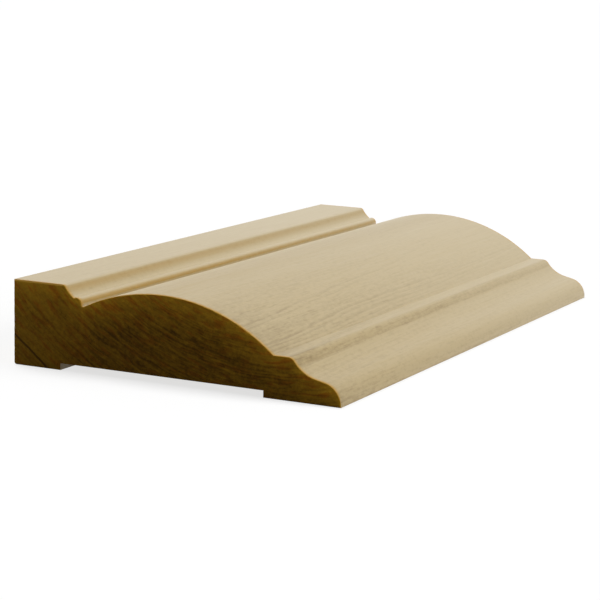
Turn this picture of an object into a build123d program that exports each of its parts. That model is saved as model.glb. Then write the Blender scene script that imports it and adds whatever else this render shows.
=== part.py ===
"""Door casing: a short length of moulded wood trim, cut square at both ends.

One piece of solid wood. It is thick along the edge away from the door, and thin along the
edge beside it. The face carries, from thick to thin: a flat fillet, a small cove with a bead,
a quirk, a broad belly, a ledge, and an ogee that ends in the rounded nose. The back has a
wide shallow relief between two flat lands.

Frame: millimetres, +X across the face from the thick edge to the nose, +Y along the grain,
+Z out from the wall. The origin is at the middle of the box that holds the piece, on the
plane of the back lands.
"""
from build123d import *
import os
from math import cos, radians, sin, sqrt

# Stock: finished three-quarter inch board, ripped to three and one eighth inches
casing_width = 79.375
casing_thickness = 19.05
sample_length = 152.4

# Flat fillet along the thick edge. Distances across are measured from the thick edge,
# and heights from the plane of the back lands.
fillet_height = 18.9
fillet_across = 12.5

# Small cove that falls from the fillet to the bead
fillet_round_radius = 0.9
cove_slope = 57.0
cove_foot_across = 15.4
cove_foot_height = 16.2

# Bead beside the quirk, which rises from the foot of the cove and turns down into the quirk
bead_radius = 1.3
bead_rise = 30.0

# Quirk, the narrow groove where the bead's wall meets the belly, and the round at its foot
quirk_across = 17.3
quirk_foot_radius = 0.4

# Belly, one long arc whose crown is the thickest place of the casing
belly_radius = 42.0
crown_across = 36.8

# Ledge at the foot of the belly, and the ogee that falls from it
ledge_height = 9.2
ledge_round_radius = 1.8
ogee_slope = 54.0
ogee_cove_radius = 8.2

# Sloping apron below the ogee, and the nose along the thin edge
apron_length = 2.2
apron_slope = 12.5
nose_radius = 4.7

# Relief along the back, which lets the two lands sit flat on an uneven wall
relief_start_across = 11.95
relief_end_across = 61.6
relief_depth = 1.5

# The back arris of the thick edge is slightly eased
back_arris_radius = 0.6

belly_centre_height = casing_thickness - belly_radius


def belly_height(across):
    """Height of the belly's arc above the back, at a distance from the thick edge."""
    return belly_centre_height + sqrt(belly_radius**2 - (across - crown_across) ** 2)


def belly_foot_across(height):
    """Distance from the thick edge at which the belly has come down to a height."""
    return crown_across + sqrt(belly_radius**2 - (height - belly_centre_height) ** 2)


# The ogee, apron and nose fill the width that is left after the ledge
ogee_sine = sin(radians(ogee_slope))
apron_sine = sin(radians(apron_slope))
ledge_round_run = ledge_round_radius * ogee_sine
ogee_cove_run = ogee_cove_radius * (ogee_sine - apron_sine)
apron_run = apron_length * cos(radians(apron_slope))
nose_run = nose_radius * (1 - apron_sine)
ledge_end_across = casing_width - ledge_round_run - ogee_cove_run - apron_run - nose_run

# Section, seen from the near end with the thick edge on the left. Its plane stands at mid
# length, and the sketch starts from the thick edge.
section_plane = Plane(origin=(-casing_width / 2, 0, 0), x_dir=(1, 0, 0), z_dir=(0, -1, 0))

with BuildPart() as casing:
    with BuildSketch(section_plane) as section:
        with BuildLine() as outline:
            thick_edge = Line((0, back_arris_radius), (0, fillet_height))
            fillet_flat = Line(thick_edge @ 1, (fillet_across, fillet_height))
            fillet_round = JernArc(
                fillet_flat @ 1, fillet_flat % 1, fillet_round_radius, -cove_slope
            )
            back_cove = TangentArc(
                fillet_round @ 1, (cove_foot_across, cove_foot_height), tangent=fillet_round % 1
            )
            bead_start = (cos(radians(bead_rise)), sin(radians(bead_rise)))
            bead = JernArc(back_cove @ 1, bead_start, bead_radius, -(90 + bead_rise))
            quirk_foot = (quirk_across, belly_height(quirk_across))
            quirk_wall = Line(bead @ 1, quirk_foot)
            belly_foot = (belly_foot_across(ledge_height), ledge_height)
            belly = RadiusArc(quirk_foot, belly_foot, belly_radius)
            ledge = Line(belly @ 1, (ledge_end_across, ledge_height))
            ledge_round = JernArc(ledge @ 1, ledge % 1, ledge_round_radius, -ogee_slope)
            ogee_cove = JernArc(
                ledge_round @ 1, ledge_round % 1, ogee_cove_radius, ogee_slope - apron_slope
            )
            apron = PolarLine(ogee_cove @ 1, apron_length, direction=ogee_cove % 1)
            nose = JernArc(apron @ 1, apron % 1, nose_radius, -(90 - apron_slope))
            thin_edge = Line(nose @ 1, (casing_width, 0))
            thin_land = Line(thin_edge @ 1, (relief_end_across, 0))
            relief_end = Line(thin_land @ 1, (relief_end_across, relief_depth))
            relief_face = Line(relief_end @ 1, (relief_start_across, relief_depth))
            relief_start = Line(relief_face @ 1, (relief_start_across, 0))
            thick_land = Line(relief_start @ 1, (back_arris_radius, 0))
            back_arris = RadiusArc(thick_land @ 1, thick_edge @ 0, back_arris_radius)
        make_face()
        quirk_corner = section.vertices().sort_by_distance(quirk_foot)[0]
        fillet(quirk_corner, radius=quirk_foot_radius)
    extrude(amount=sample_length / 2, both=True)

casing.part.label = "casing"
os.makedirs("parts", exist_ok=True)
export_step(casing.part, "parts/casing.step")
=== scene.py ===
"""Door casing: a short sample of moulded hardwood trim, cut square at both ends.

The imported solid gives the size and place. The casing is modelled again here with a fine
section, eased saw-cut arrises at both ends, and two finishes that share one figure of annual
rings: the planed long grain of the face and the darker, rougher end grain. A pale floor,
soft lamps and the camera make the stage. Lengths are in metres and angles in radians.
"""
import math

import bmesh
import bpy
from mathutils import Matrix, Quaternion, Vector, noise


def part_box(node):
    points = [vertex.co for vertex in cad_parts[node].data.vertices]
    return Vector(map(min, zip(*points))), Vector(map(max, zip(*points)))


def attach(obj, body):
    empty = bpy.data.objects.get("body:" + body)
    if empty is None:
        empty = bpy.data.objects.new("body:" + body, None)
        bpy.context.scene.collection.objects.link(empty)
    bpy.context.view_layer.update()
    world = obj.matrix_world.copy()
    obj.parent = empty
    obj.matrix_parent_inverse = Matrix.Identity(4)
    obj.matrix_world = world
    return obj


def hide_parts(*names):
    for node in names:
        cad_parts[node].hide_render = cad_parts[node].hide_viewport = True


bl_info = {
    "name": "Door Casing",
    "version": (1, 0, 0),
    "blender": (4, 5, 0),
    "location": "3D View > Sidebar > Casing",
    "description": "Builds a short length of moulded door casing in bare hardwood",
    "category": "Add Mesh",
}

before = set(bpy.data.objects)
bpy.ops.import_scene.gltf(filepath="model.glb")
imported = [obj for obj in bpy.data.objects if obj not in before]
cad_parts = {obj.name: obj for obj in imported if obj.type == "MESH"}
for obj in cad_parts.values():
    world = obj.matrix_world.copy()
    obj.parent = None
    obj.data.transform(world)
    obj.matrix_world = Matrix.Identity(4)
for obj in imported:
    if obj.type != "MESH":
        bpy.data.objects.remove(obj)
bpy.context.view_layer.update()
CASING_NODE = "casing"
BODY = "root"
solid_low, solid_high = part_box(CASING_NODE)

# Places nearer to each other than this count as the same
TOUCH = 1e-6

# Height above the relief from which a point is on the face, and the digits to which its place
# across is kept
FACE_CLEARANCE = 0.0001
PROFILE_DIGITS = 5

# A face whose normal leans more than this along the grain is end grain, and an edge that turns
# more than this angle stays sharp
END_NORMAL = 0.05
SHARP_ANGLE = math.radians(35)

# Rounded arris of an end: its segments, the shares of its depth between which it is chipped,
# and the chips as waves in a metre with their strength
ARRIS_SEGMENTS = 4
CHIPPED_FROM, CHIPPED_TO = 0.05, 0.95
CHIP_WAVES = ((900.0, 1.0), (2600.0, 0.6))

# The fillet's extra wear reaches down from its top by this many times the arris's size
WORN_ARRISES = 3

# Marks along the face: place across, then pale, flecked and hollow shade. Pale is painted sheen
# and light: it is 2 where the face would be all the paler, greyer colour that sheen gives it.
# Flecked is 1 where it has most dark flecks and ring lines, and hollow shade is 1 where painted
# shade lies as a brown line in a hollow.
MARK_NAMES = ("pale", "flecked", "hollow_shade")
FACE_MARKS = (
    (0.0, 0.88, 0.0, 0.0),
    (0.01270, 0.88, 0.0, 0.0),
    (0.01310, 1.15, 0.0, 0.0),
    (0.01335, 0.2, 0.0, 0.55),
    (0.01390, 0.2, 0.0, 0.40),
    (0.01430, 0.4, 0.0, 0.10),
    (0.01500, 1.1, 0.0, 0.0),
    (0.01660, 1.1, 0.0, 0.0),
    (0.01700, 0.8, 0.0, 0.25),
    (0.01718, 0.3, 0.0, 0.95),
    (0.01745, 0.3, 0.0, 0.95),
    (0.01780, 1.0, 0.0, 0.0),
    (0.02500, 1.0, 0.0, 0.0),
    (0.03090, 0.0, 0.0, 0.0),
    (0.03680, 0.0, 0.0, 0.0),
    (0.04230, 0.48, 0.0, 0.0),
    (0.05520, 0.48, 1.0, 0.0),
    (0.06380, 0.48, 1.0, 0.0),
    (0.06400, 0.65, 1.0, 0.0),
    (0.06710, 0.65, 1.0, 0.0),
    (0.06760, 0.0, 1.0, 0.0),
    (0.06940, 0.0, 1.0, 0.0),
    (0.06980, 0.35, 0.3, 0.0),
    (0.07750, 0.35, 0.3, 0.0),
    (0.07930, 0.0, 0.8, 0.0),
    (0.08000, 0.0, 0.8, 0.0),
)
# The same marks on the thick edge and the back, and under the quirk's brown line of painted shade
UNSEEN_MARKS = (0.25, 0.3, 0.0)
QUIRK_FOOT_MARKS = (1.0, 0.0, 0.15)

# How often the rings stray from round, as changes in a metre along each axis
WANDER_STRETCH = (90.0, 12.0, 90.0)

# Growth rings: changes of a year's width in a metre and how strong they are, then darkness
# through a year as (share of the year, level), and distances from the dark year's middle at
# which it starts and is full
YEAR_CHANGES = 420.0
YEAR_UNEVENNESS = 2.4
SEASONS = ((0.0, 0.35), (0.22, 0.0), (0.84, 1.0), (1.0, 0.35))
DARK_YEAR_EDGE = (0.0003, 0.0001)

# Parts of the figure that are noise: True where it follows the tree and False where it follows
# the piece, changes in a metre along each axis, detail and roughness
FIGURE_NOISES = {
    "Layer": (True, (1700.0, 16.0, 230.0), 3.0, 0.65),
    "Fibre": (False, (2600.0, 70.0, 2600.0), 3.0, 0.6),
    "Patch": (True, (260.0, 8.0, 90.0), 2.0, 0.5),
    "Tint": (True, (900.0, 10.0, 260.0), 2.0, 0.5),
    "Mottle": (False, (1100.0, 600.0, 1100.0), 4.0, 0.7),
    "Fleck": (False, (2600.0, 220.0, 2600.0), 3.0, 0.6),
}
# Noise levels at which a fleck starts and is full, then the pores: cells in a metre along each
# axis, and distances from a cell's middle at which a pore starts and is full
FLECK_EDGE = (0.50, 0.78)
PORE_STRETCH = (1500.0, 110.0, 1500.0)
PORE_EDGE = (0.22, 0.10)
FIGURE_PARTS = ("Late", "Dark Year", "Pore", *FIGURE_NOISES)

# Darkness of the long grain as part, weight and middle value. The parts with capitals are the
# figure's own.
FACE_SHARES = (
    ("Late", 0.14, 0.0),
    ("Layer", 0.35, 0.40),
    ("Fibre", 0.35, 0.50),
    ("Mottle", 1.50, 0.48),
    ("Pore", 0.10, 0.0),
    ("Patch", 0.25, 0.50),
    ("flecks", 0.80, 0.0),
    ("ring lines", 0.65, 0.12),
    ("near shade", 0.42, 0.0),
)
FACE_FINISH = {"rough": 0.42, "specular": 0.62, "bump": 0.000015}

# The face towards the far end: the share of its flecks that fades, and the painted sheen that
# comes in there, beside the painted sheen of one pale mark
FAR_FADE = 0.6
FAR_SHEEN = 0.33
MARK_SHEEN = 0.5

# Brown lines of painted shade in the hollows: how far the mottle breaks them, their strength at
# the near end, and what they lose by the far end
HOLLOW_MOTTLE = 0.9
HOLLOW_STRENGTH = 0.80
HOLLOW_FADE = 0.55

# Share of the painted glow's colour on the face's side of an arris, and how far outside the near
# end the near shade would be full, as a share of its length
FACE_RIM = 0.85
SHADE_OVERRUN = 0.2

# Darkness of the end grain, in the same way
END_SHARES = (
    ("Late", 0.20, 0.0),
    ("Dark Year", 0.70, 0.0),
    ("streaks", 0.92, 0.0),
    ("Patch", 0.22, 0.50),
    ("Mottle", 0.70, 0.50),
    ("Pore", 0.15, 0.0),
    # Inner keeps the end paler near the face as a painted glow, and low darkens it further down as
    # painted shade
    ("inner", 0.22, 0.0),
    ("low", 0.36, 0.0),
    ("past fillet", 0.25, 0.0),
)
END_FINISH = {"rough": 0.85, "specular": 0.08, "bump": 0.00004}

# The end grain darkens, as painted shade, down to this many times the depth of the painted glow
LOW_GLOWS = 3

# It also darkens between these places across, and its streaks have this strength before them
PAST_FILLET = (0.010, 0.024)
FILLET_STREAKS = 0.35

# Level at which a streak is neither dark nor pale, and tints between which the wood turns red
STREAK_MIDDLE = 0.59
RED_TINTS = (0.46, 0.68)

# Change of roughness from fibre to fibre
FIBRE_ROUGHNESS = 0.2

# Camera, and the share of plain white in the floor as seen, which keeps its shadow light
SENSOR_WIDTH = 36.0
CLIP_START, CLIP_END = 0.01, 50.0
FLOOR_GLOW = 0.7
WHITE = (1.0, 1.0, 1.0, 1.0)


def length_property(name, description, default):
    """A size in metres, shown to a hundredth of a millimetre."""
    return bpy.props.FloatProperty(
        name=name, description=description, default=default, min=0.0, precision=5, unit="LENGTH"
    )


def place_property(name, description, default):
    """A point in metres, in the casing's frame."""
    return bpy.props.FloatVectorProperty(
        name=name, description=description, default=default, precision=5, subtype="TRANSLATION"
    )


def direction_property(name, description, default):
    """A direction in the casing's frame, of any length."""
    return bpy.props.FloatVectorProperty(
        name=name, description=description, default=default, subtype="DIRECTION"
    )


def angle_property(name, description, degrees):
    """An angle, given here in degrees and kept in radians."""
    return bpy.props.FloatProperty(
        name=name, description=description, default=math.radians(degrees), subtype="ANGLE"
    )


def colour_property(name, description, default):
    """A linear colour without alpha."""
    return bpy.props.FloatVectorProperty(
        name=name, description=description, default=default, min=0.0, max=1.0, subtype="COLOR"
    )


def level_property(name, description, default):
    """Brightness of a lamp, where 1 makes a white sheet white."""
    return bpy.props.FloatProperty(name=name, description=description, default=default, min=0.0)


class CasingSizes(bpy.types.PropertyGroup):
    """Sizes of the casing's section. Distances across start at the thick edge."""

    width: length_property("Width", "Across the face", solid_high.x - solid_low.x)
    length: length_property("Length", "Along the grain", solid_high.y - solid_low.y)
    thickness: length_property("Thickness", "Lands to belly's crown", solid_high.z - solid_low.z)
    fillet_height: length_property("Fillet height", "Flat fillet above the lands", 0.0189)
    fillet_across: length_property("Fillet width", "Width of the flat fillet", 0.0125)
    fillet_round: length_property("Fillet round", "Round at the fillet's inner arris", 0.0009)
    cove_slope: angle_property("Cove slope", "Fall at the start of the small cove", 57.0)
    cove_foot_across: length_property("Cove foot", "Where the small cove ends", 0.0154)
    cove_foot_height: length_property("Cove foot height", "Height of that place", 0.0162)
    bead_radius: length_property("Bead radius", "Bead beside the quirk", 0.0013)
    bead_rise: angle_property("Bead rise", "Rise of the bead from the cove's foot", 30.0)
    quirk_across: length_property("Quirk", "Where the bead's wall meets the belly", 0.0173)
    quirk_foot: length_property("Quirk foot", "Round at the foot of the quirk", 0.0004)
    # The quirk's brown line is painted shade
    line_foot: length_property("Line foot", "Foot of the quirk's brown line", 0.01515)
    belly_radius: length_property("Belly radius", "Radius of the belly's one arc", 0.042)
    crown_across: length_property("Crown", "Where the belly is highest", 0.0368)
    ledge_height: length_property("Ledge height", "Ledge at the foot of the belly", 0.0092)
    ledge_round: length_property("Ledge round", "Round at the ledge's outer arris", 0.0018)
    ogee_slope: angle_property("Ogee slope", "Steepest fall of the ogee", 54.0)
    ogee_cove: length_property("Ogee cove radius", "Hollow half of the ogee", 0.0082)
    apron_length: length_property("Apron", "Straight slope above the nose", 0.0022)
    apron_slope: angle_property("Apron slope", "Fall of that slope", 12.5)
    nose_radius: length_property("Nose radius", "Round along the thin edge", 0.0047)
    relief_start: length_property("Relief start", "Where the back relief starts", 0.01195)
    relief_end: length_property("Relief end", "Where the back relief ends", 0.0616)
    relief_depth: length_property("Relief depth", "Depth of the back relief", 0.0015)
    back_arris: length_property("Back arris", "Eased back arris of the thick edge", 0.0006)
    end_arris: length_property("End arris", "Ease left by the saw at both ends", 0.0002)
    end_margin: length_property("End margin", "Depth of the first loop behind an arris", 0.0012)
    arris_waver: length_property("Arris waver", "Depth of the small chips in it", 0.00012)
    fillet_wear: length_property("Fillet wear", "Extra ease at the fillet's ends", 0.00025)
    point_spacing: length_property("Point spacing", "Spacing of the section's points", 0.0005)
    point_turn: angle_property("Point turn", "Largest turn between points of an arc", 12.0)


class WoodLook(bpy.types.PropertyGroup):
    """Colours and figure of the bare wood."""

    face_light: colour_property("Face early wood", "Between the rings", (0.42, 0.316, 0.145))
    face_dark: colour_property("Face late wood", "Dark lines of the rings", (0.24, 0.16, 0.048))
    # Pale wood is painted sheen: the paler, greyer face where it catches more sheen and light
    face_sheen: colour_property("Pale wood", "Paler bands and the far end", (0.55, 0.46, 0.295))
    # The brown lines in the hollows are painted shade
    hollow_shade_colour: colour_property("Brown lines", "Lines in the hollows", (0.40, 0.25, 0.055))
    end_light: colour_property("End early wood", "End between the rings", (0.42, 0.222, 0.0125))
    end_dark: colour_property("End late wood", "End grain at the rings", (0.07, 0.031, 0.0025))
    end_red: colour_property("End red wood", "Redder patches of an end", (0.38, 0.138, 0.007))
    # The rim's colour is a painted glow: light caught and scattered at an end's arris
    rim: colour_property("End rim", "Wood at the arris of an end", (0.48, 0.27, 0.045))
    # The paler end grain below the face is that painted glow, fading over this depth
    rim_glow: length_property("Rim glow", "Depth of the paler end grain below the face", 0.003)
    near_shade: length_property("Near shade", "Length of the darker face at the near end", 0.022)
    ring_spacing: length_property("Ring spacing", "Mean width of a year's growth", 0.00075)
    ring_wander: length_property("Ring wander", "How far the rings stray from round", 0.0024)
    pith: place_property("Pith", "A point on the tree's axis", (0.0253, 0.0, 0.075))
    grain_lean: angle_property("Grain lean", "Lean of the tree's axis along the piece", 0.5)
    dark_year: length_property("Dark year", "Distance of one dark ring from the pith", 0.0931)


class StageLook(bpy.types.PropertyGroup):
    """Camera and light."""

    camera_place: place_property("Camera", "Where the camera stands", (0.20920, -0.43726, 0.09393))
    camera_aim: place_property("Aim", "Point at the picture's middle", (-0.00784, 0.0, 0.00597))
    camera_roll: angle_property("Roll", "Turn of the camera about its view", 1.313)
    camera_lens: bpy.props.FloatProperty(
        name="Lens", description="Focal length on a 36 mm sensor", default=121.35, unit="CAMERA"
    )
    floor_size: length_property("Floor size", "Side of the square floor", 12.0)
    floor_seen: colour_property("Floor as seen", "The floor in the picture", (1.0, 1.0, 1.0))
    floor_white: colour_property("Floor", "Floor beside and behind the casing", (0.9, 0.9, 0.9))
    front_card: colour_property("Front card", "Floor before the near end", (0.30, 0.30, 0.30))
    high_toward: direction_property("High lamp", "From the casing to it", (-0.35, 0.16, 0.92))
    high_level: level_property("High lamp's level", "Share of full white from above", 0.61)
    side_toward: direction_property("Side lamp", "From the casing to it", (0.85, 0.16, 0.45))
    side_level: level_property("Side lamp's level", "Share of full white from the side", 0.52)
    lamp_spread: angle_property("Lamp spread", "Width of each lamp as the casing sees it", 30.0)
    sky_level: level_property("Sky", "Share of full white from all round", 0.22)


def share_between(value, start, end):
    """0 at start, 1 at end, in proportion between them and level beyond."""
    return min(1.0, max(0.0, (value - start) / (end - start)))


def mesh_data(mesh, name):
    """Mesh data from a bmesh, which is then freed."""
    data = bpy.data.meshes.new(name)
    mesh.to_mesh(data)
    mesh.free()
    return data


def add_object(name, data):
    """A new object in the scene, at the origin."""
    added = bpy.data.objects.new(name, data)
    bpy.context.scene.collection.objects.link(added)
    return added


class Pen:
    """Draws the section as one chain of edges, in the plane of the near end.

    The tip is the last vertex, and the heading is the direction that it was drawn in. A
    positive turn is clockwise as seen from in front of the near end.
    """

    def __init__(self, mesh, start, spacing, largest_turn):
        self.mesh = mesh
        self.tip = mesh.verts.new(start)
        self.heading = Vector((0.0, 0.0, 1.0))
        self.spacing = spacing
        self.largest_turn = largest_turn

    def head(self, rise):
        """Point the pen to the right, at an angle above the level."""
        self.heading = Vector((math.cos(rise), 0.0, math.sin(rise)))

    def run_to(self, across, height):
        """Straight run to a place, in short equal steps."""
        goal = Vector((across, self.tip.co.y, height))
        run = goal - self.tip.co
        steps = max(1, math.ceil(run.length / self.spacing))
        for _ in range(steps):
            made = bmesh.ops.extrude_vert_indiv(self.mesh, verts=[self.tip])
            self.tip = made["verts"][0]
            bmesh.ops.translate(self.mesh, verts=[self.tip], vec=run / steps)
        self.heading = run.normalized()

    def run(self, length):
        """Straight run along the heading."""
        goal = self.tip.co + self.heading * length
        self.run_to(goal.x, goal.z)

    def turn(self, radius, angle):
        """Arc that starts along the heading."""
        side = Vector((self.heading.z, 0.0, -self.heading.x)) * math.copysign(1.0, angle)
        by_length = math.ceil(radius * abs(angle) / self.spacing)
        by_turn = math.ceil(abs(angle) / self.largest_turn)
        made = bmesh.ops.spin(
            self.mesh,
            geom=[self.tip],
            cent=self.tip.co + side * radius,
            axis=(0.0, 1.0, 0.0),
            angle=angle,
            steps=max(by_length, by_turn),
            use_duplicate=False,
        )
        self.tip = next(v for v in made["geom_last"] if isinstance(v, bmesh.types.BMVert))
        self.heading = Quaternion((0.0, 1.0, 0.0), angle) @ self.heading

    def turn_to(self, across, height):
        """Arc that starts along the heading and ends at a place."""
        chord = Vector((across, self.tip.co.y, height)) - self.tip.co
        half = math.atan2(
            self.heading.z * chord.x - self.heading.x * chord.z, self.heading.dot(chord)
        )
        self.turn(abs(chord.length / (2 * math.sin(half))), 2 * half)

    def round_inner_corner(self, across, height, rise, radius):
        """Straight run to a corner, which a left turn of a radius takes to a new rise."""
        wall = Vector((across, self.tip.co.y, height)) - self.tip.co
        self.heading = wall.normalized()
        left_turn = rise - math.atan2(wall.z, wall.x)
        self.run(wall.length - radius * math.tan(left_turn / 2))
        self.turn(radius, -left_turn)


def draw_fillet_to_quirk(pen, sizes, belly_centre):
    """Thick edge, fillet, small cove, bead and the quirk's foot."""
    left = solid_low.x
    base = solid_low.z
    pen.run_to(left, base + sizes.fillet_height)
    pen.run_to(left + sizes.fillet_across, base + sizes.fillet_height)
    pen.turn(sizes.fillet_round, sizes.cove_slope)
    pen.turn_to(left + sizes.cove_foot_across, base + sizes.cove_foot_height)
    pen.head(sizes.bead_rise)
    pen.turn(sizes.bead_radius, math.pi / 2 + sizes.bead_rise)
    quirk_run = sizes.crown_across - sizes.quirk_across
    quirk_rise = math.asin(quirk_run / sizes.belly_radius)
    quirk_height = belly_centre + sizes.belly_radius * math.cos(quirk_rise)
    pen.round_inner_corner(
        left + sizes.quirk_across, base + quirk_height, quirk_rise, sizes.quirk_foot
    )


def draw_belly(pen, sizes, belly_centre):
    """The belly's one arc, from the quirk's foot to the ledge."""
    belly_run = solid_low.x + sizes.crown_across - pen.tip.co.x
    belly_rise = math.asin(belly_run / sizes.belly_radius)
    belly_fall = math.acos((sizes.ledge_height - belly_centre) / sizes.belly_radius)
    pen.tip.co.z = solid_low.z + belly_centre + sizes.belly_radius * math.cos(belly_rise)
    pen.head(belly_rise)
    pen.turn(sizes.belly_radius, belly_rise + belly_fall)


def draw_ledge_to_nose(pen, sizes):
    """Ledge, ogee, apron and nose, which fill the width that the belly leaves."""
    ogee_sine = math.sin(sizes.ogee_slope)
    apron_sine = math.sin(sizes.apron_slope)
    ledge_end = (
        sizes.width
        - sizes.ledge_round * ogee_sine
        - sizes.ogee_cove * (ogee_sine - apron_sine)
        - sizes.apron_length * math.cos(sizes.apron_slope)
        - sizes.nose_radius * (1 - apron_sine)
    )
    pen.run_to(solid_low.x + ledge_end, solid_low.z + sizes.ledge_height)
    pen.turn(sizes.ledge_round, sizes.ogee_slope)
    pen.turn(sizes.ogee_cove, sizes.apron_slope - sizes.ogee_slope)
    pen.run(sizes.apron_length)
    pen.turn(sizes.nose_radius, math.pi / 2 - sizes.apron_slope)
    pen.tip.co.x = solid_low.x + sizes.width


def draw_section(mesh, sizes, near_end):
    """The casing's outline, from the thick edge over the face and back along the lands."""
    left = solid_low.x
    base = solid_low.z
    start = (left, near_end, base + sizes.back_arris)
    pen = Pen(mesh, start, sizes.point_spacing, sizes.point_turn)
    belly_centre = sizes.thickness - sizes.belly_radius
    draw_fillet_to_quirk(pen, sizes, belly_centre)
    draw_belly(pen, sizes, belly_centre)
    draw_ledge_to_nose(pen, sizes)
    pen.run_to(left + sizes.width, base)
    pen.run_to(left + sizes.relief_end, base)
    pen.run_to(left + sizes.relief_end, base + sizes.relief_depth)
    pen.run_to(left + sizes.relief_start, base + sizes.relief_depth)
    pen.run_to(left + sizes.relief_start, base)
    pen.run_to(left + sizes.back_arris, base)
    pen.turn(sizes.back_arris, math.pi / 2)
    bmesh.ops.remove_doubles(mesh, verts=mesh.verts, dist=sizes.point_spacing / 100)


def extrude_along_grain(mesh, sizes):
    """Fill the outline and draw it out to the far end. Returns the two end faces.

    A loop close to each end keeps the long faces flat up to the eased arris.
    """
    near_face = bmesh.ops.contextual_create(mesh, geom=mesh.edges)["faces"][0]
    margin = sizes.end_margin
    far_face = near_face
    for step in (margin, sizes.length - 2 * margin, margin):
        drawn = [far_face, *far_face.edges, *far_face.verts]
        made = bmesh.ops.extrude_face_region(mesh, geom=drawn)["geom"]
        far_face = next(g for g in made if isinstance(g, bmesh.types.BMFace))
        bmesh.ops.translate(mesh, verts=far_face.verts, vec=(0.0, step, 0.0))
    return near_face, far_face


def ease_ends(mesh, sizes, end_faces, rim):
    """Round the arrises of both ends a little unevenly, as a saw leaves them in bare wood.

    The layer rim, which carries a painted glow, becomes 1 on the rounded arris above the
    relief, and stays 0 elsewhere.
    """
    outlines = [edge for face in end_faces for edge in face.edges]
    eased = bmesh.ops.bevel(
        mesh,
        geom=outlines,
        offset=sizes.end_arris,
        offset_type="OFFSET",
        segments=ARRIS_SEGMENTS,
        profile=0.5,
        affect="EDGES",
        clamp_overlap=True,
        material=-1,
    )
    mesh.normal_update()
    for vert in eased["verts"]:
        depth = sizes.length / 2 - abs(vert.co.y)
        height = vert.co.z - solid_low.z
        rounded = share_between(depth, 0.0, sizes.end_arris / ARRIS_SEGMENTS)
        vert[rim] = rounded * share_between(height, sizes.relief_depth, 2 * sizes.relief_depth)
        on_fillet = vert.co.x - solid_low.x < sizes.fillet_across
        if on_fillet and height > sizes.fillet_height - WORN_ARRISES * sizes.end_arris:
            vert.co.z -= sizes.fillet_wear * share_between(depth, sizes.end_arris, 0.0)
        if CHIPPED_FROM < depth / sizes.end_arris < CHIPPED_TO:
            chips = sum(strength * noise.noise(vert.co * waves) for waves, strength in CHIP_WAVES)
            vert.co -= vert.normal * sizes.arris_waver * max(0.0, chips)


def face_profile(mesh, sizes):
    """Places across and heights of the face, from the thick edge to the thin edge."""
    lowest = sizes.relief_depth + FACE_CLEARANCE
    profile = {}
    for vert in mesh.verts:
        height = vert.co.z - solid_low.z
        if height > lowest:
            across = round(vert.co.x, PROFILE_DIGITS)
            profile[across] = max(profile.get(across, 0.0), height)
    return sorted(profile.items())


def marks_at(across):
    """The three marks at a place across the face, in proportion between the rows."""
    for (start, *first), (end, *last) in zip(FACE_MARKS, FACE_MARKS[1:]):
        if across <= end:
            share = share_between(across, start, end)
            return [a + share * (b - a) for a, b in zip(first, last)]
    return FACE_MARKS[-1][1:]


def mark_face(mesh, sizes):
    """Note the marks on the vertices. The thick edge and the back have even marks."""
    layers = [mesh.verts.layers.float[name] for name in MARK_NAMES]
    for vert in mesh.verts:
        height = vert.co.z - solid_low.z
        across = vert.co.x - solid_low.x
        on_thick_edge = across < TOUCH and height < sizes.fillet_height - TOUCH
        behind_face = across < sizes.width - sizes.relief_depth
        on_back = behind_face and height < sizes.relief_depth + TOUCH
        marks = UNSEEN_MARKS if on_thick_edge or on_back else marks_at(across)
        if abs(across - sizes.quirk_across) < sizes.quirk_foot and height < sizes.line_foot:
            marks = QUIRK_FOOT_MARKS
        for layer, mark in zip(layers, marks):
            vert[layer] = mark


def build_casing(sizes):
    """The dressed casing as a mesh object with its place in its mesh, and its face's profile."""
    mesh = bmesh.new()
    rim = mesh.verts.layers.float.new("rim")
    for name in MARK_NAMES:
        mesh.verts.layers.float.new(name)
    draw_section(mesh, sizes, solid_low.y)
    profile = face_profile(mesh, sizes)
    mark_face(mesh, sizes)
    end_faces = extrude_along_grain(mesh, sizes)
    bmesh.ops.recalc_face_normals(mesh, faces=mesh.faces)
    ease_ends(mesh, sizes, end_faces, rim)
    for face in mesh.faces:
        face.smooth = face not in end_faces
        face.material_index = 1 if abs(face.normal.y) > END_NORMAL else 0
    data = mesh_data(mesh, "dressed_casing")
    data.set_sharp_from_angle(angle=SHARP_ANGLE)
    return add_object("dressed_casing", data), profile


def empty_tree(owner):
    """The node tree of a material or a world, with nothing in it."""
    owner.use_nodes = True
    owner.node_tree.nodes.clear()
    return owner.node_tree


def add_node(tree, kind, place, settings=None, values=None):
    """A node at a place in the editor, with its settings and its input values by name."""
    node = tree.nodes.new(kind)
    node.location = place
    for name, value in (settings or {}).items():
        setattr(node, name, value)
    for name, value in (values or {}).items():
        node.inputs[name].default_value = value
    return node


def join(tree, term, socket):
    """Give an input socket a value, or a link from an output socket."""
    if isinstance(term, bpy.types.NodeSocket):
        tree.links.new(term, socket)
    else:
        socket.default_value = term


def math_node(tree, place, operation, *terms, clamp=False):
    """Math node. Terms are sockets or numbers. Returns its output."""
    node = add_node(
        tree, "ShaderNodeMath", place, settings={"operation": operation, "use_clamp": clamp}
    )
    for socket, term in zip(node.inputs, terms):
        join(tree, term, socket)
    return node.outputs[0]


def vector_node(tree, place, operation, first, second):
    """Vector math node of two terms, which are sockets or vectors. Returns its output."""
    node = add_node(tree, "ShaderNodeVectorMath", place, settings={"operation": operation})
    join(tree, first, node.inputs[0])
    join(tree, second, node.inputs["Scale"] if operation == "SCALE" else node.inputs[1])
    return node.outputs[0]


def stretched(tree, place, vector, stretch):
    """Coordinates in which one unit is one change, from changes in a metre on each axis."""
    mapping = add_node(tree, "ShaderNodeMapping", place, values={"Scale": stretch})
    tree.links.new(vector, mapping.inputs["Vector"])
    return mapping.outputs[0]


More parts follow.
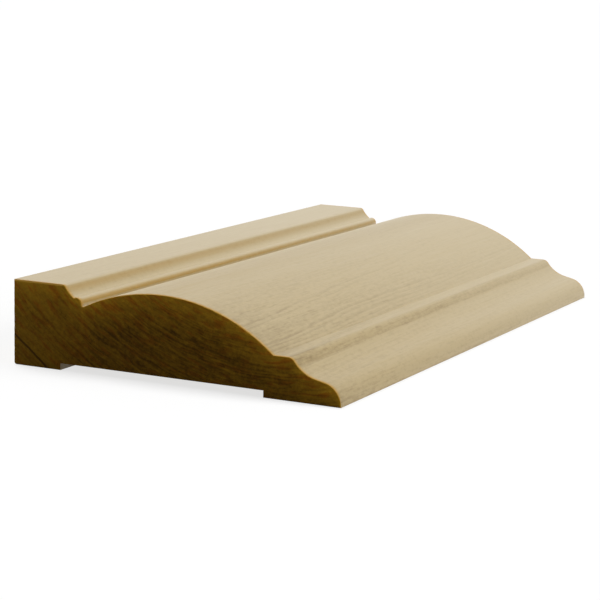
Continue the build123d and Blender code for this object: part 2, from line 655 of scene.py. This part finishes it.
def noise_at(tree, place, vector, stretch, detail, roughness=0.5):
    """Noise from 0 to 1. Stretch is how often it changes in a metre, along each axis."""
    node = add_node(
        tree,
        "ShaderNodeTexNoise",
        (place[0] + 200, place[1]),
        values={"Scale": 1.0, "Detail": detail, "Roughness": roughness},
    )
    tree.links.new(stretched(tree, place, vector, stretch), node.inputs["Vector"])
    return node.outputs


def ramp_between(tree, place, value, start, end, interpolation="SMOOTHSTEP"):
    """0 where the value is at start, 1 where it is at end, and level beyond."""
    node = add_node(
        tree,
        "ShaderNodeMapRange",
        place,
        settings={"interpolation_type": interpolation},
        values={"From Min": start, "From Max": end, "To Min": 0.0, "To Max": 1.0},
    )
    tree.links.new(value, node.inputs["Value"])
    return node.outputs[0]


def mix_colours(tree, place, factor, first, second):
    """Mix node for colours. First and second are colours or sockets, factor is a socket."""
    mix = add_node(tree, "ShaderNodeMix", place, settings={"data_type": "RGBA"})
    tree.links.new(factor, mix.inputs["Factor"])
    for name, colour in (("A", first), ("B", second)):
        socket = next(s for s in mix.inputs if s.name == name and s.type == "RGBA")
        is_socket = isinstance(colour, bpy.types.NodeSocket)
        join(tree, colour if is_socket else (*colour, 1.0), socket)
    return next(s for s in mix.outputs if s.type == "RGBA")


def attribute(tree, place, name):
    """A value that the mesh carries on its vertices."""
    node = add_node(tree, "ShaderNodeAttribute", place, settings={"attribute_name": name})
    return node.outputs["Fac"]


def object_point(tree, place):
    """The point in the casing's frame."""
    return add_node(tree, "ShaderNodeTexCoord", place).outputs["Object"]


def axes_of(tree, place, vector):
    """X, Y and Z of a vector."""
    parts = add_node(tree, "ShaderNodeSeparateXYZ", place)
    tree.links.new(vector, parts.inputs[0])
    return parts.outputs


def tree_coordinates(group, look, point):
    """Place in the tree: distance from the pith, along the grain, and round the ring.

    The point first wanders by about a ring's width, because a tree isn't round. Returns the
    distance by itself, and all three as one vector.
    """
    wander = noise_at(group, (-2200, 300), point, WANDER_STRETCH, 2.0)["Color"]
    centred = vector_node(group, (-1800, 300), "SUBTRACT", wander, (0.5, 0.5, 0.5))
    scaled = vector_node(group, (-1600, 300), "SCALE", centred, look.ring_wander)
    moved = vector_node(group, (-1400, 300), "ADD", scaled, point)
    lean = add_node(
        group,
        "ShaderNodeMapping",
        (-1200, 300),
        values={
            "Rotation": (-look.grain_lean, 0.0, look.grain_lean),
            "Location": (-look.pith[0], 0.0, -look.pith[2]),
        },
    )
    group.links.new(moved, lean.inputs["Vector"])
    across, along, height = axes_of(group, (-1000, 300), lean.outputs[0])
    across_squared = math_node(group, (-900, 500), "MULTIPLY", across, across)
    height_squared = math_node(group, (-900, 300), "MULTIPLY", height, height)
    squares = math_node(group, (-800, 400), "ADD", across_squared, height_squared)
    distance = math_node(group, (-600, 400), "SQRT", squares)
    below = math_node(group, (-800, 100), "MULTIPLY", height, -1.0)
    angle = math_node(group, (-600, 200), "ARCTAN2", across, below)
    round_ring = math_node(group, (-400, 200), "MULTIPLY", angle, look.pith[2])
    place = add_node(group, "ShaderNodeCombineXYZ", (-200, 200))
    for part, socket in zip((distance, along, round_ring), place.inputs):
        group.links.new(part, socket)
    return distance, place.outputs[0]


def late_wood(group, distance, ring_spacing):
    """1 in the dark wood that ends each year, with years of uneven width and strength."""
    uneven = add_node(
        group,
        "ShaderNodeTexNoise",
        (0, 600),
        settings={"noise_dimensions": "1D"},
        values={"Scale": YEAR_CHANGES, "Detail": 1.0},
    )
    group.links.new(distance, uneven.inputs["W"])
    even_years = math_node(group, (0, 400), "DIVIDE", distance, ring_spacing)
    years = math_node(
        group, (200, 500), "MULTIPLY_ADD", uneven.outputs[0], YEAR_UNEVENNESS, even_years
    )
    season = math_node(group, (400, 600), "FRACT", years)
    year = math_node(group, (400, 400), "FLOOR", years)
    darkening = add_node(group, "ShaderNodeValToRGB", (600, 600))
    elements = darkening.color_ramp.elements
    for position, _ in SEASONS[1:-1]:
        elements.new(position)
    for element, (_, level) in zip(elements, SEASONS):
        element.color = (level, level, level, 1.0)
    group.links.new(season, darkening.inputs["Fac"])
    strength = add_node(
        group, "ShaderNodeTexWhiteNoise", (600, 400), settings={"noise_dimensions": "1D"}
    )
    group.links.new(year, strength.inputs["W"])
    return math_node(
        group, (800, 500), "MULTIPLY", darkening.outputs["Color"], strength.outputs["Value"]
    )


def dark_year(group, distance, radius):
    """1 in the one ring that is dark all through."""
    offset = math_node(group, (0, 200), "SUBTRACT", distance, radius)
    away = math_node(group, (200, 200), "ABSOLUTE", offset)
    return ramp_between(group, (400, 200), away, *DARK_YEAR_EDGE, "LINEAR")


def pores(group, point):
    """1 in the pores, which are short and run along the grain."""
    cells = add_node(group, "ShaderNodeTexVoronoi", (200, -150), values={"Scale": 1.0})
    group.links.new(stretched(group, (0, -150), point, PORE_STRETCH), cells.inputs["Vector"])
    return ramp_between(group, (400, -150), cells.outputs["Distance"], *PORE_EDGE, "LINEAR")


def wood_figure(look):
    """Node group with the growth rings, layers, fibres and pores of one piece of wood.

    Late is 1 in a ring's dark wood, Dark Year in the one dark year, and Pore in a pore. Layer
    is made of dashes that follow the rings, Fibre runs in fine long streaks, Patch and Tint
    vary slowly, Mottle is fine and even, and Fleck is 1 in short dark marks along the grain.
    """
    group = bpy.data.node_groups.new("wood_figure", "ShaderNodeTree")
    for name in FIGURE_PARTS:
        group.interface.new_socket(name=name, in_out="OUTPUT", socket_type="NodeSocketFloat")
    point = object_point(group, (-2400, 0))
    distance, tree_place = tree_coordinates(group, look, point)
    parts = {
        "Late": late_wood(group, distance, look.ring_spacing),
        "Dark Year": dark_year(group, distance, look.dark_year),
        "Pore": pores(group, point),
    }
    for row, (name, (in_tree, stretch, detail, roughness)) in enumerate(FIGURE_NOISES.items()):
        coordinates = tree_place if in_tree else point
        place = (0, -300 - 150 * row)
        parts[name] = noise_at(group, place, coordinates, stretch, detail, roughness)[0]
    parts["Fleck"] = ramp_between(group, (600, -1050), parts["Fleck"], *FLECK_EDGE, "LINEAR")
    ends = add_node(group, "NodeGroupOutput", (1100, 0))
    for name in FIGURE_PARTS:
        group.links.new(parts[name], ends.inputs[name])
    return group


def start_wood(name, figure):
    """A new material with the figure's node in it, and the figure's parts by name."""
    material = bpy.data.materials.new(name)
    tree = empty_tree(material)
    node = add_node(tree, "ShaderNodeGroup", (-1400, 0), settings={"node_tree": figure})
    return material, tree, {part: node.outputs[part] for part in FIGURE_PARTS}


def darkness_of(tree, shares, parts):
    """Weighted sum of the parts about their middle values, from 0 to 1."""
    total = None
    for row, (name, weight, middle) in enumerate(shares):
        place = (-1150 + 150 * row, 250 - 150 * row)
        offset = math_node(tree, place, "MULTIPLY_ADD", parts[name], weight, -weight * middle)
        if total is None:
            total = offset
        else:
            total = math_node(tree, (place[0] + 100, place[1] + 100), "ADD", total, offset)
    return math_node(tree, (-300, 0), "MULTIPLY", total, 1.0, clamp=True)


def finish_wood(material, tree, parts, colour, rough, specular, bump):
    """Shader with the colour, a roughness that follows the fibres, and a fine relief."""
    smoothest = rough - FIBRE_ROUGHNESS / 2
    roughness = math_node(
        tree, (0, -100), "MULTIPLY_ADD", parts["Fibre"], FIBRE_ROUGHNESS, smoothest
    )
    height = math_node(tree, (0, -300), "SUBTRACT", parts["Fibre"], parts["Pore"])
    relief = add_node(
        tree, "ShaderNodeBump", (200, -300), values={"Strength": 1.0, "Distance": bump}
    )
    shader = add_node(
        tree, "ShaderNodeBsdfPrincipled", (400, 0), values={"Specular IOR Level": specular}
    )
    output = add_node(tree, "ShaderNodeOutputMaterial", (700, 0))
    link = tree.links.new
    link(height, relief.inputs["Height"])
    link(colour, shader.inputs["Base Color"])
    link(roughness, shader.inputs["Roughness"])
    link(relief.outputs[0], shader.inputs["Normal"])
    link(shader.outputs[0], output.inputs["Surface"])
    return material


def long_grain(look, figure):
    """Planed face: pale, with thin lines where it cuts the rings, and a few paler, greyer bands
    of painted sheen.

    Towards the far end the painted sheen grows and its lines fade. The hollows get a brown
    line of painted shade, and the ends' arrises a painted glow.
    """
    material, tree, parts = start_wood("long_grain", figure)
    # Painted sheen: paler, greyer bands of the face
    sheen_band = attribute(tree, (-1150, 700), "pale")
    flecked = attribute(tree, (-1150, 500), "flecked")
    # Painted shade in the hollows
    hollow_shade = attribute(tree, (0, 1150), "hollow_shade")
    # Painted glow at the ends' arrises
    rim = attribute(tree, (-200, 800), "rim")
    along = axes_of(tree, (-1150, 900), object_point(tree, (-1350, 900)))["Y"]
    # Painted sheen grows towards the far end, and the lines fade under it
    far = ramp_between(tree, (-400, 700), along, solid_low.y, solid_high.y)
    nearness = math_node(tree, (-1150, 600), "MULTIPLY_ADD", far, -FAR_FADE, 1.0)
    near_flecked = math_node(tree, (-1050, 500), "MULTIPLY", nearness, flecked)
    shade_start = solid_low.y + look.near_shade
    shade_end = solid_low.y - SHADE_OVERRUN * look.near_shade
    near_end = ramp_between(tree, (-950, 900), along, shade_start, shade_end)
    parts = {
        **parts,
        "flecks": math_node(tree, (-950, 500), "MULTIPLY", parts["Fleck"], near_flecked),
        "ring lines": math_node(tree, (-950, 400), "MULTIPLY", parts["Late"], near_flecked),
        "near shade": math_node(tree, (-750, 800), "MULTIPLY", near_end, flecked),
    }
    darkness = darkness_of(tree, FACE_SHARES, parts)
    wood = mix_colours(tree, (0, 200), darkness, look.face_light, look.face_dark)
    # Painted sheen from the pale marks and towards the far end
    band = math_node(tree, (0, 400), "MULTIPLY", sheen_band, MARK_SHEEN)
    pale = math_node(tree, (0, 600), "MULTIPLY_ADD", far, FAR_SHEEN, band)
    paler = mix_colours(tree, (200, 300), pale, wood, look.face_sheen)
    # Brown lines of painted shade in the hollows, weaker towards the far end
    fading = math_node(tree, (-200, 1000), "MULTIPLY_ADD", far, -HOLLOW_FADE, HOLLOW_STRENGTH)
    uneven = math_node(tree, (0, 1000), "MULTIPLY_ADD", parts["Mottle"], HOLLOW_MOTTLE, fading)
    brown = math_node(tree, (200, 1000), "MULTIPLY", hollow_shade, uneven, clamp=True)
    browner = mix_colours(tree, (400, 500), brown, paler, look.hollow_shade_colour)
    # Painted glow on the face's side of an arris
    near_rim = math_node(tree, (0, 800), "MULTIPLY", rim, FACE_RIM)
    colour = mix_colours(tree, (400, 300), near_rim, browner, look.rim)
    return finish_wood(material, tree, parts, colour, **FACE_FINISH)


def depth_below_face(tree, profile):
    """Place across of a point, and how far it lies below the face above it."""
    parts = axes_of(tree, (-1800, 900), object_point(tree, (-2000, 900)))
    across = ramp_between(tree, (-1600, 1000), parts["X"], solid_low.x, solid_high.x, "LINEAR")
    outline = add_node(tree, "ShaderNodeFloatCurve", (-1400, 1000))
    points = outline.mapping.curves[0].points
    width = solid_high.x - solid_low.x
    for point, (_, height) in zip((points[0], points[-1]), (profile[0], profile[-1])):
        point.location.y = height / width
    for x, height in profile[1:-1]:
        points.new((x - solid_low.x) / width, height / width)
    outline.mapping.update()
    tree.links.new(across, outline.inputs["Value"])
    height = math_node(tree, (-1100, 900), "SUBTRACT", parts["Z"], solid_low.z)
    top = math_node(tree, (-1100, 1100), "MULTIPLY", outline.outputs[0], width)
    return parts["X"], math_node(tree, (-900, 1000), "SUBTRACT", top, height)


def end_grain(look, figure, profile):
    """Saw-cut end: brown and rough, with the rings in view, a painted glow that makes it paler
    near the face, and painted shade that makes it darker further down.
    """
    material, tree, parts = start_wood("end_grain", figure)
    across, depth = depth_below_face(tree, profile)
    fillet_start, fillet_end = (solid_low.x + place for place in PAST_FILLET)
    past_fillet = ramp_between(tree, (-700, 600), across, fillet_start, fillet_end)
    strength = math_node(
        tree, (-500, 600), "MULTIPLY_ADD", past_fillet, 1 - FILLET_STREAKS, FILLET_STREAKS
    )
    centred = math_node(tree, (-500, 800), "SUBTRACT", parts["Layer"], STREAK_MIDDLE)
    parts = {
        **parts,
        "streaks": math_node(tree, (-300, 700), "MULTIPLY", centred, strength),
        # Painted glow near the face, and painted shade further down
        "inner": ramp_between(tree, (-700, 1000), depth, 0.0, look.rim_glow),
        "low": ramp_between(tree, (-700, 800), depth, 0.0, LOW_GLOWS * look.rim_glow),
        "past fillet": past_fillet,
    }
    darkness = darkness_of(tree, END_SHARES, parts)
    redness = ramp_between(tree, (-300, 400), parts["Tint"], *RED_TINTS)
    early = mix_colours(tree, (-150, 400), redness, look.end_light, look.end_red)
    brown = mix_colours(tree, (0, 200), darkness, early, look.end_dark)
    # Painted glow at the arris
    rim = attribute(tree, (0, 600), "rim")
    colour = mix_colours(tree, (200, 200), rim, brown, look.rim)
    return finish_wood(material, tree, parts, colour, **END_FINISH)


class CASING_OT_casing(bpy.types.Operator):
    """Model the casing and give it its long grain and end grain"""

    bl_idname = "casing.casing"
    bl_label = "Casing"

    def execute(self, context):
        look = context.scene.wood_look
        piece, profile = build_casing(context.scene.casing_sizes)
        figure = wood_figure(look)
        piece.data.materials.append(long_grain(look, figure))
        piece.data.materials.append(end_grain(look, figure, profile))
        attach(piece, BODY)
        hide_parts(CASING_NODE)
        return {"FINISHED"}


def place_camera(look):
    """The camera of the reference view. Depth of field and shift stay off."""
    data = bpy.data.cameras.new("camera")
    data.lens = look.camera_lens
    data.sensor_width = SENSOR_WIDTH
    data.clip_start = CLIP_START
    data.clip_end = CLIP_END
    camera = add_object("camera", data)
    place = Vector(look.camera_place)
    view = (Vector(look.camera_aim) - place).normalized()
    roll = Quaternion((0.0, 0.0, 1.0), look.camera_roll)
    camera.location = place
    camera.rotation_mode = "QUATERNION"
    camera.rotation_quaternion = view.to_track_quat("-Z", "Y") @ roll
    bpy.context.scene.camera = camera


def place_lamp(name, toward, level, spread):
    """A wide far lamp in a direction. Level 1 lights a white sheet that faces it to white.

    It adds no highlight of its own, because the white surroundings already give the sheen.
    """
    data = bpy.data.lights.new(name, "SUN")
    data.energy = level * math.pi
    data.angle = spread
    lamp = add_object(name, data)
    lamp.location = toward
    lamp.rotation_mode = "QUATERNION"
    lamp.rotation_quaternion = (-Vector(toward)).to_track_quat("-Z", "Y")
    lamp.visible_glossy = False


def seen_directly(tree, place):
    """1 for camera, glossy and transmission rays, else 0."""
    x, y = place
    rays = add_node(tree, "ShaderNodeLightPath", place).outputs
    either = math_node(tree, (x + 200, y), "ADD", rays["Is Camera Ray"], rays["Is Glossy Ray"])
    return math_node(tree, (x + 400, y), "ADD", either, rays["Is Transmission Ray"], clamp=True)


def floor_material(look):
    """Pale floor: white as seen, with a light shadow.

    The light that it throws back is white beside and behind the casing, and weak in front of
    the near end, as if a grey card lay there.
    """
    material = bpy.data.materials.new("pale_floor")
    tree = empty_tree(material)
    seen = seen_directly(tree, (-900, 0))
    along = axes_of(tree, (-900, -300), object_point(tree, (-1100, -300)))["Y"]
    beyond_end = math_node(tree, (-700, -300), "GREATER_THAN", along, solid_low.y)
    returned = mix_colours(tree, (-500, -300), beyond_end, look.front_card, look.floor_white)
    colour = mix_colours(tree, (-300, -200), seen, returned, look.floor_seen)
    matt = add_node(tree, "ShaderNodeBsdfDiffuse", (-100, -200))
    white = add_node(tree, "ShaderNodeEmission", (-100, 0), values={"Strength": 1.0})
    share = math_node(tree, (-300, 100), "MULTIPLY", seen, FLOOR_GLOW)
    both = add_node(tree, "ShaderNodeMixShader", (100, 0))
    output = add_node(tree, "ShaderNodeOutputMaterial", (300, 0))
    link = tree.links.new
    link(colour, matt.inputs["Color"])
    link(share, both.inputs[0])
    link(matt.outputs[0], both.inputs[1])
    link(white.outputs[0], both.inputs[2])
    link(both.outputs[0], output.inputs["Surface"])
    return material


def build_floor(look):
    """Square floor under the casing."""
    mesh = bmesh.new()
    bmesh.ops.create_grid(mesh, x_segments=1, y_segments=1, size=look.floor_size / 2)
    bmesh.ops.translate(mesh, verts=mesh.verts, vec=(0.0, 0.0, solid_low.z))
    floor = add_object("floor", mesh_data(mesh, "floor"))
    floor.data.materials.append(floor_material(look))


def light_sky(level):
    """White surroundings as seen, and an even soft light on the casing."""
    world = bpy.data.worlds.new("surroundings")
    tree = empty_tree(world)
    seen = seen_directly(tree, (-900, 0))
    either = add_node(tree, "ShaderNodeMixShader", (0, 0))
    tree.links.new(seen, either.inputs[0])
    for row, strength in enumerate((level, 1.0)):
        light = add_node(
            tree,
            "ShaderNodeBackground",
            (-200, 150 - 200 * row),
            values={"Color": WHITE, "Strength": strength},
        )
        tree.links.new(light.outputs[0], either.inputs[1 + row])
    output = add_node(tree, "ShaderNodeOutputWorld", (200, 0))
    tree.links.new(either.outputs[0], output.inputs["Surface"])
    bpy.context.scene.world = world


class CASING_OT_stage(bpy.types.Operator):
    """Set out the floor, the lamps, the surroundings and the camera"""

    bl_idname = "casing.stage"
    bl_label = "Stage"

    def execute(self, context):
        look = context.scene.stage_look
        place_camera(look)
        build_floor(look)
        light_sky(look.sky_level)
        place_lamp("high_lamp", look.high_toward, look.high_level, look.lamp_spread)
        place_lamp("side_lamp", look.side_toward, look.side_level, look.lamp_spread)
        context.scene.view_settings.view_transform = "Standard"
        return {"FINISHED"}


class CASING_PT_panel(bpy.types.Panel):
    """Casing tools in the 3D view's sidebar"""

    bl_idname = "CASING_PT_panel"
    bl_label = "Door Casing"
    bl_space_type = "VIEW_3D"
    bl_region_type = "UI"
    bl_category = "Casing"

    def draw(self, context):
        for operator in OPERATORS:
            self.layout.operator(operator.bl_idname)
        scene = context.scene
        for group in (scene.casing_sizes, scene.wood_look, scene.stage_look):
            box = self.layout.box()
            for name in group.__annotations__:
                box.prop(group, name)


GROUPS = (CasingSizes, WoodLook, StageLook)
OPERATORS = (CASING_OT_casing, CASING_OT_stage)
CLASSES = (*GROUPS, *OPERATORS, CASING_PT_panel)


def register():
    for cls in CLASSES:
        bpy.utils.register_class(cls)
    bpy.types.Scene.casing_sizes = bpy.props.PointerProperty(type=CasingSizes)
    bpy.types.Scene.wood_look = bpy.props.PointerProperty(type=WoodLook)
    bpy.types.Scene.stage_look = bpy.props.PointerProperty(type=StageLook)


def unregister():
    del bpy.types.Scene.stage_look
    del bpy.types.Scene.wood_look
    del bpy.types.Scene.casing_sizes
    for cls in reversed(CLASSES):
        bpy.utils.unregister_class(cls)


def main():
    """Make everything: register the tools, then set out the stage and model the casing."""
    register()
    bpy.ops.casing.stage()
    bpy.ops.casing.casing()


if __name__ == "__main__":
    main()
